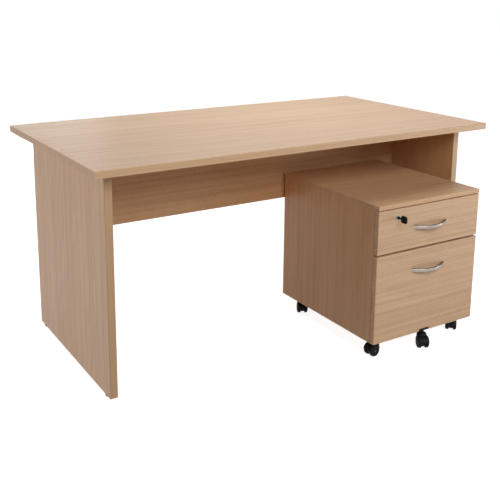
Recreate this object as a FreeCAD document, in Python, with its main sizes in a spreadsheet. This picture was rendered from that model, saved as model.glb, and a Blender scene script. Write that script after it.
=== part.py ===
import FreeCAD, Part
import Sketcher
import os
import re

# A panel-end office desk with a loose two-drawer pedestal on castors under its right-hand side.
# Millimetres and degrees. X runs along the desk to the right, Y to the back and Z up from the floor.
# The origin is on the floor, in the middle of the whole object's box.
# Every driving size is a cell of the sheet, and every place is a formula of those cells.

SIZES = {
    # Desk
    "desk_width": 1500,
    "desk_depth": 800,
    "desk_height": 725,
    "top_thickness": 22,
    "edging": 2,
    "edge_round": 1.8,
    "panel_thickness": 25,
    "end_overhang": 55,
    "edge_overhang": 75,
    "modesty_thickness": 18,
    "modesty_height": 268,
    "modesty_inset": 400,
    "glide_height": 8,
    "glide_radius": 12,
    "glide_inset": 38,
    "glide_pin_radius": 3,
    "glide_pin_length": 18,
    # Desk fittings
    "dowel_radius": 4,
    "dowel_bite": 10,
    "dowel_reach": 20,
    "bolt_radius": 3,
    "bolt_bite": 11,
    "bolt_reach": 34,
    "cam_radius": 7.5,
    "cam_depth": 18,
    "modesty_cam_depth": 13,
    "drill_clearance": 0.05,
    "panel_cam_spread": 200,
    "panel_dowel_spread": 270,
    "modesty_cam_drop": 50,
    "modesty_cam_pitch": 160,
    "modesty_dowel_drop": 90,
    "modesty_dowel_pitch": 80,
    # Pedestal carcass
    "pedestal_width": 450,
    "pedestal_depth": 520,
    "pedestal_height": 530,
    "pedestal_gap": 79,
    "pedestal_reach": 130,
    "pedestal_cap": 15,
    "board": 16,
    "castor_height": 60,
    "close_gap": 2,
    "cap_gap": 2.5,
    "front_gap": 6,
    "carcass_dowel_inset": 80,
    "carcass_dowel_pitch": 300,
    "base_notch_width": 60,
    "base_notch_depth": 14,
    # Drawers
    "front_thickness": 18,
    "file_front_height": 301,
    "drawer_length": 450,
    "sheet_steel": 1,
    "drawer_flange": 15,
    "top_box_rise": 13,
    "top_box_height": 100,
    "file_box_rise": 24,
    "file_box_height": 250,
    "file_rail_width": 4,
    "file_rail_height": 10,
    "file_rail_cover": 8,
    "screw_radius": 1.8,
    "screw_bite": 12,
    "screw_head_radius": 3.5,
    "screw_head": 2,
    "drawer_screw_low": 30,
    "drawer_screw_pitch": 50,
    # Runners
    "runner_thickness": 12.5,
    "runner_wall": 1.2,
    "runner_length": 430,
    "runner_setback": 4,
    "runner_step": 2.5,
    "runner_outer_lip": 9,
    "runner_middle_back": 3.5,
    "runner_middle_lip": 10.5,
    "runner_inner_lip": 6.5,
    "top_runner_half": 17.5,
    "top_runner_rise": 60,
    "file_runner_half": 22.5,
    "file_runner_rise": 90,
    # Handles
    "handle_centres": 128,
    "handle_reach": 30,
    "handle_bow_radius": 105,
    "handle_bow_angle": 96,
    "handle_bar_height": 12.5,
    "handle_bar_depth": 7,
    "handle_bar_round": 3.2,
    "handle_foot_radius": 4.5,
    "handle_foot_length": 7,
    "handle_screw_radius": 2,
    "handle_screw_bite": 6,
    "handle_screw_head": 2.5,
    "top_handle_drop": 72.5,
    "file_handle_drop": 70,
    # Lock and key
    "lock_across": 82,
    "lock_drop": 30,
    "lock_rim_radius": 11.5,
    "lock_rim": 2,
    "turned_chamfer": 1,
    "lock_barrel_radius": 9,
    "lock_barrel_length": 22,
    "plug_radius": 6,
    "plug_front": 2.6,
    "plug_length": 24,
    "lock_cam_width": 14,
    "lock_cam_length": 27,
    "lock_cam_thickness": 2,
    "key_thickness": 2.2,
    "key_height": 6,
    "key_depth": 14,
    "key_shoulder_near": 3.2,
    "key_shoulder_far": 7,
    "key_shoulder_height": 9,
    "key_tail": 22,
    "key_reach": 40,
    "key_head_near": 14,
    "key_head_height": 24,
    "key_head_corner": 5,
    "key_head_thickness": 5,
    "key_head_round": 1.2,
    "strike_width": 30,
    "strike_drop": 18,
    "strike_foot": 20,
    "strike_sheet": 1.5,
    "strike_setback": 20.5,
    # Castors
    "wheel_radius": 20,
    "wheel_width": 11,
    "wheel_round": 4,
    "wheel_dish": 1.5,
    "wheel_hub_radius": 8,
    "wheel_rim_radius": 14.5,
    "wheel_clearance": 0.7,
    "web_width": 15,
    "web_radius": 15.5,
    "web_gap": 0.5,
    "hood_radius": 23,
    "hood_round": 5,
    "hood_rim": 24,
    "crown_radius": 17,
    "crown_round": 8.5,
    "crown_top": 51,
    "castor_trail": 12,
    "neck_radius": 6.5,
    "neck_foot": 26,
    "neck_top": 57,
    "axle_radius": 2.5,
    "stem_radius": 4,
    "stem_foot": 41,
    "stem_play": 1,
    "running_clearance": 0.05,
    "castor_plate": 38,
    "castor_plate_thickness": 2.5,
    "castor_screw_pitch": 28,
    "castor_side_inset": 45,
    "castor_front_inset": 45,
    "castor_back_inset": 62,
    "front_left_turn": -85,
    "front_right_turn": 137,
    "back_left_turn": -28,
    "back_right_turn": 20,
    "anti_tilt_turn": -25,
    # Anti-tilt bracket under the file drawer's front
    "bracket_width": 44,
    "bracket_plate": 8.5,
    "bracket_lift": 0.5,
    "bracket_flange": 3,
    "bracket_flange_height": 19,
    "bracket_notch_play": 0.5,
    "bracket_screw_spread": 12,
    "bracket_screw_rise": 13,
}

# Places that many pieces share, as formulas of the sizes
DESK_FRONT = "((pedestal_reach + key_reach - desk_depth) / 2)"
PANEL_MIDDLE = "((pedestal_reach + key_reach) / 2)"
PANEL_DEPTH = "(desk_depth - 2 * edge_overhang)"
PANEL_TOP = "(desk_height - top_thickness)"
PANEL_INNER = "(desk_width / 2 - end_overhang - panel_thickness)"
PANEL_CENTRE = "(desk_width / 2 - end_overhang - panel_thickness / 2)"
MODESTY_FRONT = f"({DESK_FRONT} + modesty_inset)"
FACE = f"({DESK_FRONT} - pedestal_reach)"
FRONT_REAR = f"({FACE} + front_thickness)"
CARCASS_FRONT = f"({FRONT_REAR} + close_gap)"
PEDESTAL_BACK = f"({FACE} + pedestal_depth)"
PEDESTAL_MIDDLE = f"({PANEL_INNER} - pedestal_gap - pedestal_width / 2)"
CAP_UNDER = "(pedestal_height - pedestal_cap)"
INNER_HALF = "(pedestal_width / 2 - board)"
BOX_HALF = f"({INNER_HALF} - runner_thickness)"
TOP_FRONT_LOW = "(castor_height + file_front_height + front_gap)"
TOP_FRONT_HEIGHT = f"({CAP_UNDER} - cap_gap - {TOP_FRONT_LOW})"
TOP_BOX_LOW = f"({TOP_FRONT_LOW} + top_box_rise)"
FILE_BOX_LOW = "(castor_height + file_box_rise)"
LOCK_X = f"({PEDESTAL_MIDDLE} - pedestal_width / 2 + lock_across)"
LOCK_Z = f"({CAP_UNDER} - cap_gap - lock_drop)"
SIDES = {"left": -1, "right": 1}

doc = FreeCAD.newDocument("pedestal_desk")
sheet = doc.addObject("Spreadsheet::Sheet", "sizes")
for row, (alias, driving_size) in enumerate(SIZES.items(), start=1):
    sheet.set(f"A{row}", alias)
    sheet.set(f"B{row}", str(driving_size))
    sheet.setAlias(f"B{row}", alias)
doc.recompute()

nodes = []
AGREE = 1e-6
TURN_FROM_Z = {
    "x": FreeCAD.Rotation(FreeCAD.Vector(0, 1, 0), 90),
    "y": FreeCAD.Rotation(FreeCAD.Vector(1, 0, 0), -90),
    "z": FreeCAD.Rotation(),
}


def formula(words):
    """Puts the sheet's name before each size that a formula names."""
    return re.sub(r"[a-z_]+", lambda word: "sizes." + word[0] if word[0] in SIZES else word[0], words)


def number(words):
    """What a formula comes to, for the first drawing of a sketch."""
    return float(sheet.evalExpression(formula(words)))


def bind(thing, **formulas):
    """Binds properties of an object to formulas."""
    for name, words in formulas.items():
        thing.setExpression(name, formula(words))
    return thing


def place(thing, x="0", y="0", z="0", turn="0"):
    """Binds an object's place and its turn about the upright."""
    for axis, words in zip("xyz", (x, y, z)):
        thing.setExpression(f"Placement.Base.{axis}", formula(words))
    if turn != "0":
        thing.Placement.Rotation = FreeCAD.Rotation(FreeCAD.Vector(0, 0, 1), number(turn))
        thing.setExpression("Placement.Rotation.Angle", formula(turn))
    return thing


def node(thing, label):
    """Names a finished sub-part and lists it for export."""
    thing.Label = label
    nodes.append(thing)
    return thing


def block(name, x, y, z, width, depth, height):
    """A box from its low corner and its three sizes."""
    box = doc.addObject("Part::Box", name)
    bind(box, Length=width, Width=depth, Height=height)
    return place(box, x, y, z)


def rod(name, axis, x, y, z, radius, length):
    """A cylinder that starts at a point and runs along an axis."""
    cylinder = doc.addObject("Part::Cylinder", name)
    cylinder.Placement.Rotation = TURN_FROM_Z[axis]
    bind(cylinder, Radius=radius, Height=length)
    return place(cylinder, x, y, z)


def fuse(name, pieces):
    """Several solids made one."""
    joined = doc.addObject("Part::MultiFuse", name)
    joined.Shapes = pieces
    return joined


def cut(name, base, tools):
    """A solid with every tool taken out of it."""
    carved = doc.addObject("Part::Cut", name)
    carved.Base = base
    carved.Tool = tools[0] if len(tools) == 1 else fuse(name + "_tools", tools)
    return carved


def group(label, pieces):
    """A node that holds several like solids, each still its own."""
    cluster = doc.addObject("Part::Compound", label + "_group")
    cluster.Links = pieces
    return node(cluster, label)


def outward(side, start, length):
    """Low end of a span that starts this far from the middle and runs outward on one side."""
    return f"({side} * ({start} + ({length}) / 2) - ({length}) / 2)"


def new_body(name):
    """An empty body for sketched features."""
    return doc.addObject("PartDesign::Body", name)


def new_sketch(body, plane, name):
    """A sketch on one of the body's own planes."""
    sketch = body.newObject("Sketcher::SketchObject", name)
    support = next(item for item in body.Origin.OriginFeatures if item.Role == plane)
    sketch.AttachmentSupport = [(support, "")]
    sketch.MapMode = "FlatFace"
    return sketch


def hold(sketch, kind, line, words):
    """Holds a line's start to the sketch's origin by a bound distance."""
    index = sketch.addConstraint(Sketcher.Constraint(kind, -1, 1, line, 1, number(words)))
    sketch.setExpression(f"Constraints[{index}]", formula(words))


def outline(sketch, corners):
    """A closed run of straight lines through corners, each given by two formulas."""
    points = [FreeCAD.Vector(number(across), number(up), 0) for across, up in corners]
    spans = zip(points, points[1:] + points[:1])
    lines = [sketch.addGeometry(Part.LineSegment(start, end)) for start, end in spans]
    for line, following in zip(lines, lines[1:] + lines[:1]):
        sketch.addConstraint(Sketcher.Constraint("Coincident", line, 2, following, 1))
    for line, (across, up) in zip(lines, corners):
        hold(sketch, "DistanceX", line, across)
        hold(sketch, "DistanceY", line, up)


def pad(body, sketch, length, symmetric=False, backward=False):
    """Raises a sketch into a solid."""
    feature = body.newObject("PartDesign::Pad", sketch.Name + "_pad")
    feature.Profile = sketch
    feature.SideType = "Symmetric" if symmetric else "One side"
    feature.Reversed = backward
    return bind(feature, Length=length)


def turned(body, sketch, axis, angle="360"):
    """Turns a sketch about one of its own axes, evenly to both sides."""
    feature = body.newObject("PartDesign::Revolution", sketch.Name + "_turned")
    feature.Profile = sketch
    feature.ReferenceAxis = (sketch, [axis])
    feature.Midplane = True
    return bind(feature, Angle=angle)


def soften(body, feature, radius, chosen):
    """Rounds the edges of a feature that a test picks by their two ends."""
    doc.recompute()
    names = []
    for count, edge in enumerate(feature.Shape.Edges, start=1):
        if chosen(edge.Vertexes[0].Point, edge.Vertexes[-1].Point):
            names.append(f"Edge{count}")
    fillet = body.newObject("PartDesign::Fillet", feature.Name + "_softened")
    fillet.Base = (feature, names)
    return bind(fillet, Radius=radius)


def same(one, other):
    """True where two lengths agree."""
    return abs(one - other) < AGREE


def near(value, words):
    """True where a length is the one that a formula gives."""
    return same(value, number(words))


def edging_strip(name, length, height):
    """An edging strip along X, its outer long edges rounded, its outer face towards the front."""
    body = new_body(name)
    sketch = new_sketch(body, "YZ_Plane", name + "_section")
    outline(sketch, [("0", "0"), ("edging", "0"), ("edging", height), ("0", height)])
    strip = pad(body, sketch, length, symmetric=True)
    soften(body, strip, "edge_round", lambda start, end: near(start.y, "0")
           and near(end.y, "0") and not same(start.x, end.x))
    return body


def desk_fittings():
    """Cam bolts, cams and dowels, with the holes that each takes out of the boards that it joins."""
    bolts = []
    cams = []
    dowels = []
    holes = {"desktop": [], "left": [], "right": [], "modesty": []}
    loose = "+ drill_clearance"
    for name, side in SIDES.items():
        across = f"{side} * {PANEL_CENTRE}"
        for end in (-1, 1):
            along = f"{PANEL_MIDDLE} + {end} * panel_cam_spread"
            foot = f"{PANEL_TOP} - bolt_reach"
            tag = f"{name}_{'front' if end < 0 else 'back'}"
            span = "bolt_reach + bolt_bite"
            bolts.append(rod(f"bolt_{tag}", "z", across, along, foot, "bolt_radius", span))
            bore = rod(f"bolt_bore_{tag}", "z", across, along, foot, "bolt_radius" + loose, span)
            inner = outward(side, PANEL_INNER, "cam_depth")
            disc = rod(f"cam_{tag}", "x", inner, along, foot, "cam_radius", "cam_depth")
            cams.append(cut(f"cam_slotted_{tag}", disc, [bore]))
            pocket_depth = "cam_depth" + loose
            inner = outward(side, PANEL_INNER, pocket_depth)
            pocket = rod(f"cam_pocket_{tag}", "x", inner, along, foot, "cam_radius" + loose, pocket_depth)
            holes["desktop"].append(bore)
            holes[name] += [bore, pocket]
            along = f"{PANEL_MIDDLE} + {end} * panel_dowel_spread"
            foot = f"{PANEL_TOP} - dowel_reach"
            dowel = ("z", across, along, foot)
            dowels.append(rod(f"dowel_{tag}", *dowel, "dowel_radius", "dowel_reach + dowel_bite"))
            bore = rod(f"dowel_bore_{tag}", *dowel, "dowel_radius" + loose, "dowel_reach + dowel_bite")
            holes["desktop"].append(bore)
            holes[name].append(bore)
        middle = f"{MODESTY_FRONT} + modesty_thickness / 2"
        for level in (0, 1):
            tag = f"modesty_{name}_{'upper' if level == 0 else 'lower'}"
            height = f"{PANEL_TOP} - modesty_cam_drop - {level} * modesty_cam_pitch"
            span = "bolt_reach + bolt_bite"
            inner = outward(side, f"{PANEL_INNER} - bolt_reach", span)
            bolts.append(rod(f"bolt_{tag}", "x", inner, middle, height, "bolt_radius", span))
            bore = rod(f"bolt_bore_{tag}", "x", inner, middle, height, "bolt_radius" + loose, span)
            cam_x = f"{side} * ({PANEL_INNER} - bolt_reach)"
            cam_y = f"{MODESTY_FRONT} + modesty_thickness - modesty_cam_depth"
            disc = rod(f"cam_{tag}", "y", cam_x, cam_y, height, "cam_radius", "modesty_cam_depth")
            cams.append(cut(f"cam_slotted_{tag}", disc, [bore]))
            pocket_y = f"{cam_y} - drill_clearance"
            pocket_depth = "modesty_cam_depth" + loose
            pocket_radius = "cam_radius" + loose
            pocket = rod(f"cam_pocket_{tag}", "y", cam_x, pocket_y, height, pocket_radius, pocket_depth)
            holes[name].append(bore)
            holes["modesty"] += [bore, pocket]
            height = f"{PANEL_TOP} - modesty_dowel_drop - {level} * modesty_dowel_pitch"
            span = "dowel_reach + dowel_bite"
            inner = outward(side, f"{PANEL_INNER} - dowel_reach", span)
            dowels.append(rod(f"dowel_{tag}", "x", inner, middle, height, "dowel_radius", span))
            bore = rod(f"dowel_bore_{tag}", "x", inner, middle, height, "dowel_radius" + loose, span)
            holes[name].append(bore)
            holes["modesty"].append(bore)
    group("desk_cam_bolts", bolts)
    group("desk_cams", cams)
    group("desk_dowels", dowels)
    return holes


def floor_glides(holes):
    """Plastic glides under both ends of each end panel, and the holes for their pins."""
    glides = []
    for name, side in SIDES.items():
        for end in (-1, 1):
            tag = f"glide_{name}_{'front' if end < 0 else 'back'}"
            body = new_body(tag)
            sketch = new_sketch(body, "XZ_Plane", tag + "_profile")
            sole = "glide_radius - edging"
            outline(sketch, [
                ("0", "0"), (sole, "0"), ("glide_radius", "edging"), ("glide_radius", "glide_height"),
                ("glide_pin_radius", "glide_height"),
                ("glide_pin_radius", "glide_height + glide_pin_length"),
                ("0", "glide_height + glide_pin_length"),
            ])
            turned(body, sketch, "V_Axis")
            x = f"{side} * {PANEL_CENTRE}"
            y = f"{PANEL_MIDDLE} + {end} * ({PANEL_DEPTH} / 2 - glide_inset)"
            place(body, x, y)
            glides.append(body)
            radius = "glide_pin_radius + drill_clearance"
            length = "glide_pin_length + drill_clearance"
            holes[name].append(rod(tag + "_hole", "z", x, y, "glide_height", radius, length))
    group("floor_glides", glides)


def desk():
    """Desktop, end panels, modesty panel and their edging."""
    holes = desk_fittings()
    floor_glides(holes)
    core_width = "desk_width - 2 * edging"
    core_depth = "desk_depth - 2 * edging"
    core = block("desktop_core", f"-({core_width}) / 2", f"{DESK_FRONT} + edging", PANEL_TOP,
                 core_width, core_depth, "top_thickness")
    node(cut("desktop_drilled", core, holes["desktop"]), "desktop")
    strips = []
    for name, end, turn in (("front", -1, "0"), ("back", 1, "180")):
        strip = edging_strip(f"desktop_strip_{name}", "desk_width", "top_thickness")
        strips.append(place(strip, "0", f"{PANEL_MIDDLE} + {end} * desk_depth / 2", PANEL_TOP, turn))
    for name, side in SIDES.items():
        strip = edging_strip(f"desktop_strip_{name}", core_depth, "top_thickness")
        strips.append(place(strip, f"{side} * desk_width / 2", PANEL_MIDDLE, PANEL_TOP, f"{side} * 90"))
    group("desktop_edging", strips)
    panel_strips = []
    panel_height = f"{PANEL_TOP} - glide_height"
    for name, side in SIDES.items():
        outer = f"{side} * {PANEL_CENTRE} - panel_thickness / 2"
        front = f"{PANEL_MIDDLE} - {PANEL_DEPTH} / 2 + edging"
        panel = block(f"{name}_panel_core", outer, front, "glide_height",
                      "panel_thickness", f"{PANEL_DEPTH} - 2 * edging", panel_height)
        node(cut(f"{name}_panel_drilled", panel, holes[name]), f"{name}_end_panel")
        for end, turn in ((-1, "0"), (1, "180")):
            strip = upright_strip(f"{name}_panel_strip_{'front' if end < 0 else 'back'}", panel_height)
            y = f"{PANEL_MIDDLE} + {end} * {PANEL_DEPTH} / 2"
            panel_strips.append(place(strip, f"{side} * {PANEL_CENTRE}", y, "glide_height", turn))
    group("end_panel_edging", panel_strips)
    modesty = block("modesty_core", f"-{PANEL_INNER}", MODESTY_FRONT, f"{PANEL_TOP} - modesty_height",
                    f"2 * {PANEL_INNER}", "modesty_thickness", "modesty_height")
    node(cut("modesty_drilled", modesty, holes["modesty"]), "modesty_panel")


def upright_strip(name, height):
    """An edging strip that stands on end, its outer edges rounded, its outer face towards the front."""
    body = new_body(name)
    sketch = new_sketch(body, "XY_Plane", name + "_section")
    half = "panel_thickness / 2"
    outline(sketch, [(f"-{half}", "0"), (half, "0"), (half, "edging"), (f"-{half}", "edging")])
    strip = pad(body, sketch, height)
    soften(body, strip, "edge_round", lambda start, end: near(start.y, "0")
           and near(end.y, "0") and same(start.x, end.x))
    return body


def carcass_dowels():
    """Dowels between the carcass boards, with the holes that they take out of each board."""
    dowels = []
    holes = {"left": [], "right": [], "cap": [], "base": [], "back": []}
    span = "dowel_reach + dowel_bite"
    for name, side in SIDES.items():
        side_middle = f"{PEDESTAL_MIDDLE} + {side} * (pedestal_width / 2 - board / 2)"
        inner = f"{PEDESTAL_MIDDLE} + {outward(side, f'{INNER_HALF} - dowel_reach', span)}"
        for step in (0, 1):
            along = f"{CARCASS_FRONT} + carcass_dowel_inset + {step} * carcass_dowel_pitch"
            up = f"castor_height + carcass_dowel_inset + {step} * carcass_dowel_pitch"
            spots = {
                "cap": ("z", side_middle, along, f"{CAP_UNDER} - dowel_reach"),
                "base": ("x", inner, along, "castor_height + board / 2"),
                "back": ("x", inner, f"{PEDESTAL_BACK} - board / 2", up),
            }
            for other, spot in spots.items():
                tag = f"{name}_{other}_{step}"
                dowels.append(rod(f"carcass_dowel_{tag}", *spot, "dowel_radius", span))
                bore = rod(f"carcass_bore_{tag}", *spot, "dowel_radius + drill_clearance", span)
                holes[name].append(bore)
                holes[other].append(bore)
    group("pedestal_dowels", dowels)
    return holes


def castor_seats(holes):
    """Castor plates with their stems, the screws that hold them, and the screws' holes in the base."""
    plates = []
    screws = []
    under = "castor_height - castor_plate_thickness"
    for end, inset in (("front", "castor_front_inset"), ("back", "pedestal_depth - castor_back_inset")):
        for name, side in SIDES.items():
            tag = f"{end}_{name}"
            x = f"{PEDESTAL_MIDDLE} + {side} * (pedestal_width / 2 - castor_side_inset)"
            y = f"{FACE} + {inset}"
            plate = block(f"castor_plate_{tag}", f"{x} - castor_plate / 2", f"{y} - castor_plate / 2",
                          under, "castor_plate", "castor_plate", "castor_plate_thickness")
            stem = rod(f"castor_stem_{tag}", "z", x, y, "stem_foot", "stem_radius", f"{under} - stem_foot")
            bores = []
            for across in (-1, 1):
                for along in (-1, 1):
                    mark = f"{tag}_{'inner' if across < 0 else 'outer'}_{'near' if along < 0 else 'far'}"
                    screw_x = f"{x} + {across} * castor_screw_pitch / 2"
                    spot = (screw_x, f"{y} + {along} * castor_screw_pitch / 2")
                    head = rod(f"castor_screw_head_{mark}", "z", *spot, f"{under} - screw_head",
                               "screw_head_radius", "screw_head")
                    length = "castor_plate_thickness + screw_bite"
                    shank = rod(f"castor_screw_shank_{mark}", "z", *spot, under, "screw_radius", length)
                    screws.append(fuse(f"castor_screw_{mark}", [head, shank]))
                    bores.append(rod(f"castor_screw_bore_{mark}", "z", *spot, under,
                                     "screw_radius + drill_clearance", length))
            plates.append(cut(f"castor_seat_{tag}", fuse(f"castor_plate_stem_{tag}", [plate, stem]), bores))
            holes["base"] += bores
    group("castor_plates", plates)
    group("castor_screws", screws)


def pedestal():
    """The carcass boards, the lock's strike and the seats of the four castors under the base."""
    holes = carcass_dowels()
    castor_seats(holes)
    upright = f"{CAP_UNDER} - castor_height"
    for name, side in SIDES.items():
        x = f"{PEDESTAL_MIDDLE} + {side} * (pedestal_width / 2 - board / 2) - board / 2"
        board = block(f"pedestal_{name}_core", x, CARCASS_FRONT, "castor_height",
                      "board", f"{PEDESTAL_BACK} - {CARCASS_FRONT}", upright)
        node(cut(f"pedestal_{name}_drilled", board, holes[name]), f"pedestal_{name}_side")
    inner_left = f"{PEDESTAL_MIDDLE} - {INNER_HALF}"
    back = block("pedestal_back_core", inner_left, f"{PEDESTAL_BACK} - board", "castor_height",
                 f"2 * {INNER_HALF}", "board", upright)
    node(cut("pedestal_back_drilled", back, holes["back"]), "pedestal_back")
    base = block("pedestal_base_core", inner_left, CARCASS_FRONT, "castor_height",
                 f"2 * {INNER_HALF}", f"{PEDESTAL_BACK} - board - {CARCASS_FRONT}", "board")
    notch = block("pedestal_base_notch", f"{PEDESTAL_MIDDLE} - base_notch_width / 2", CARCASS_FRONT,
                  "castor_height", "base_notch_width", "base_notch_depth", "board")
    node(cut("pedestal_base_drilled", base, holes["base"] + [notch]), "pedestal_base")
    cap = new_body("pedestal_cap_core")
    sketch = new_sketch(cap, "XY_Plane", "pedestal_cap_plan")
    half = "pedestal_width / 2"
    back = "pedestal_depth"
    outline(sketch, [(f"-{half}", "0"), (half, "0"), (half, back), (f"-{half}", back)])
    slab = pad(cap, sketch, "pedestal_cap")
    soften(cap, slab, "edge_round", lambda start, end: same(start.z, end.z)
           and (near(start.z, "pedestal_cap") or near(start.y, "0") and near(end.y, "0")))
    place(cap, PEDESTAL_MIDDLE, FACE, CAP_UNDER)
    node(cut("pedestal_cap_drilled", cap, holes["cap"]), "pedestal_top")
    strike = new_body("lock_strike_angle")
    sketch = new_sketch(strike, "YZ_Plane", "lock_strike_section")
    outline(sketch, [
        ("0", "0"), ("0", "-strike_drop"), ("strike_sheet", "-strike_drop"),
        ("strike_sheet", "-strike_sheet"), ("strike_foot", "-strike_sheet"), ("strike_foot", "0"),
    ])
    pad(strike, sketch, "strike_width", symmetric=True)
    node(place(strike, LOCK_X, f"{FACE} + strike_setback", CAP_UNDER), "lock_strike")


def runner_member(name, side, back, lip, half):
    """One C-shaped runner member: its web's outer face at back, and its flanges reaching to lip."""
    body = new_body(name)
    sketch = new_sketch(body, "XZ_Plane", name + "_section")
    web = f"{back} + runner_wall" if number(lip) > number(back) else f"{back} - runner_wall"
    inner = f"{half} - runner_wall"
    corners = [
        (back, f"-({half})"), (lip, f"-({half})"), (lip, f"-({inner})"), (web, f"-({inner})"),
        (web, inner), (lip, inner), (lip, half), (back, half),
    ]
    outline(sketch, [(f"{-side} * ({across})", up) for across, up in corners])
    pad(body, sketch, "runner_length", backward=True)
    return body


def runners():
    """Both pairs of runners: two members each for the top drawer, three for the file drawer."""
    top_inner = "top_runner_half - runner_step"
    file_middle = "file_runner_half - runner_step"
    file_inner = "file_runner_half - 2 * runner_step"
    top_height = f"{TOP_BOX_LOW} + top_runner_rise"
    file_height = f"{FILE_BOX_LOW} + file_runner_rise"
    members = {
        "top_runner_outer": (top_height, "0", "runner_outer_lip", "top_runner_half"),
        "top_runner_inner": (top_height, "runner_thickness", "runner_inner_lip", top_inner),
        "file_runner_outer": (file_height, "0", "runner_outer_lip", "file_runner_half"),
        "file_runner_middle": (file_height, "runner_middle_back", "runner_middle_lip", file_middle),
        "file_runner_inner": (file_height, "runner_thickness", "runner_inner_lip", file_inner),
    }
    for label, (height, back, lip, half) in members.items():
        pair = []
        for name, side in SIDES.items():
            member = runner_member(f"{label}_{name}", side, back, lip, half)
            x = f"{PEDESTAL_MIDDLE} + {side} * {INNER_HALF}"
            pair.append(place(member, x, f"{CARCASS_FRONT} + runner_setback", height))
        group(label, pair)


def drawer_front(name, low, height, notched):
    """A drawer front with softened edges on its face, notched for the anti-tilt bracket where asked."""
    body = new_body(name)
    sketch = new_sketch(body, "XZ_Plane", name + "_outline")
    half = "pedestal_width / 2"
    notch = "bracket_width / 2 + bracket_notch_play"
    notch_top = "bracket_lift + bracket_plate + bracket_notch_play"
    corners = [(f"-{half}", "0"), (half, "0"), (half, height), (f"-{half}", height)]
    if notched:
        left = f"-({notch})"
        corners[1:1] = [(left, "0"), (left, notch_top), (notch, notch_top), (notch, "0")]
    outline(sketch, corners)
    panel = pad(body, sketch, "front_thickness", backward=True)
    soften(body, panel, "edge_round", lambda start, end: near(start.y, "0") and near(end.y, "0") and (
        same(start.x, end.x) and near(abs(start.x), half)
        or same(start.z, end.z) and (near(start.z, height) or near(start.z, "0"))))
    return place(body, PEDESTAL_MIDDLE, FACE, low)


def handle(tag, height):
    """A bow handle: a softened bar turned about an upright line behind the front, on two round feet."""
    centre = f"{FACE} + handle_bow_radius - handle_reach + handle_bar_depth / 2"
    body = new_body(f"{tag}_handle_bar")
    sketch = new_sketch(body, "YZ_Plane", f"{tag}_handle_section")
    outer = "-(handle_bow_radius + handle_bar_depth / 2)"
    inner = "-(handle_bow_radius - handle_bar_depth / 2)"
    rise = "handle_bar_height / 2"
    outline(sketch, [(outer, f"-{rise}"), (inner, f"-{rise}"), (inner, rise), (outer, rise)])
    bow = turned(body, sketch, "V_Axis", "handle_bow_angle")
    soften(body, bow, "handle_bar_round", lambda start, end: same(start.z, end.z)
           and same(start.y, end.y) and not same(start.x, end.x))
    place(body, PEDESTAL_MIDDLE, centre, height)
    pieces = [body]
    tools = [block(f"{tag}_handle_trim", f"{PEDESTAL_MIDDLE} - handle_centres", FACE,
                   f"{height} - handle_bar_height", "2 * handle_centres", "handle_bow_radius",
                   "2 * handle_bar_height")]
    screws = []
    bores = []
    for name, side in SIDES.items():
        x = f"{PEDESTAL_MIDDLE} + {side} * handle_centres / 2"
        pieces.append(rod(f"{tag}_handle_foot_{name}", "y", x, f"{FACE} - handle_foot_length", height,
                          "handle_foot_radius", "handle_foot_length"))
        start = f"{FACE} - handle_screw_bite"
        length = "front_thickness + handle_screw_bite"
        shank = rod(f"{tag}_handle_shank_{name}", "y", x, start, height, "handle_screw_radius", length)
        head = rod(f"{tag}_handle_head_{name}", "y", x, FRONT_REAR, height,
                   "screw_head_radius", "handle_screw_head")
        screws.append(fuse(f"{tag}_handle_screw_{name}", [shank, head]))
        bores.append(rod(f"{tag}_handle_bore_{name}", "y", x, start, height,
                         "handle_screw_radius + drill_clearance", length))
    whole = fuse(f"{tag}_handle_joined", pieces)
    node(cut(f"{tag}_handle_trimmed", whole, tools + bores), f"{tag}_drawer_handle")
    group(f"{tag}_handle_screws", screws)
    return bores


def drawer_box(tag, low, height):
    """A folded steel drawer body with a welded back, and the screws that hold the front to its flange."""
    body = new_body(f"{tag}_box_fold")
    trough = new_sketch(body, "XZ_Plane", f"{tag}_box_section")
    flange = new_sketch(body, "XZ_Plane", f"{tag}_box_flange")
    for sketch, wall in ((trough, "sheet_steel"), (flange, "drawer_flange")):
        inner = f"{BOX_HALF} - {wall}"
        outline(sketch, [
            (f"-{BOX_HALF}", "0"), (BOX_HALF, "0"), (BOX_HALF, height), (inner, height),
            (inner, wall), (f"-({inner})", wall), (f"-({inner})", height), (f"-{BOX_HALF}", height),
        ])
    pad(body, trough, "drawer_length", backward=True)
    pad(body, flange, "sheet_steel", backward=True)
    place(body, PEDESTAL_MIDDLE, FRONT_REAR, low)
    back = block(f"{tag}_back_plate", f"{PEDESTAL_MIDDLE} - {BOX_HALF} + sheet_steel",
                 f"{FRONT_REAR} + drawer_length - sheet_steel", f"{low} + sheet_steel",
                 f"2 * {BOX_HALF} - 2 * sheet_steel", "sheet_steel", f"{height} - sheet_steel")
    node(back, f"{tag}_drawer_back")
    screws = []
    bores = []
    for name, side in SIDES.items():
        x = f"{PEDESTAL_MIDDLE} + {side} * ({BOX_HALF} - drawer_flange / 2)"
        for step in (0, 1):
            mark = f"{tag}_{name}_{step}"
            z = f"{low} + drawer_screw_low + {step} * drawer_screw_pitch"
            start = f"{FRONT_REAR} - screw_bite"
            length = "screw_bite + sheet_steel"
            shank = rod(f"drawer_screw_shank_{mark}", "y", x, start, z, "screw_radius", length)
            head = rod(f"drawer_screw_head_{mark}", "y", x, f"{FRONT_REAR} + sheet_steel", z,
                       "screw_head_radius", "screw_head")
            screws.append(fuse(f"drawer_screw_{mark}", [shank, head]))
            bores.append(rod(f"drawer_screw_bore_{mark}", "y", x, start, z,
                             "screw_radius + drill_clearance", length))
    node(cut(f"{tag}_box_drilled", body, bores), f"{tag}_drawer_body")
    group(f"{tag}_drawer_screws", screws)
    return bores


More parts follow.
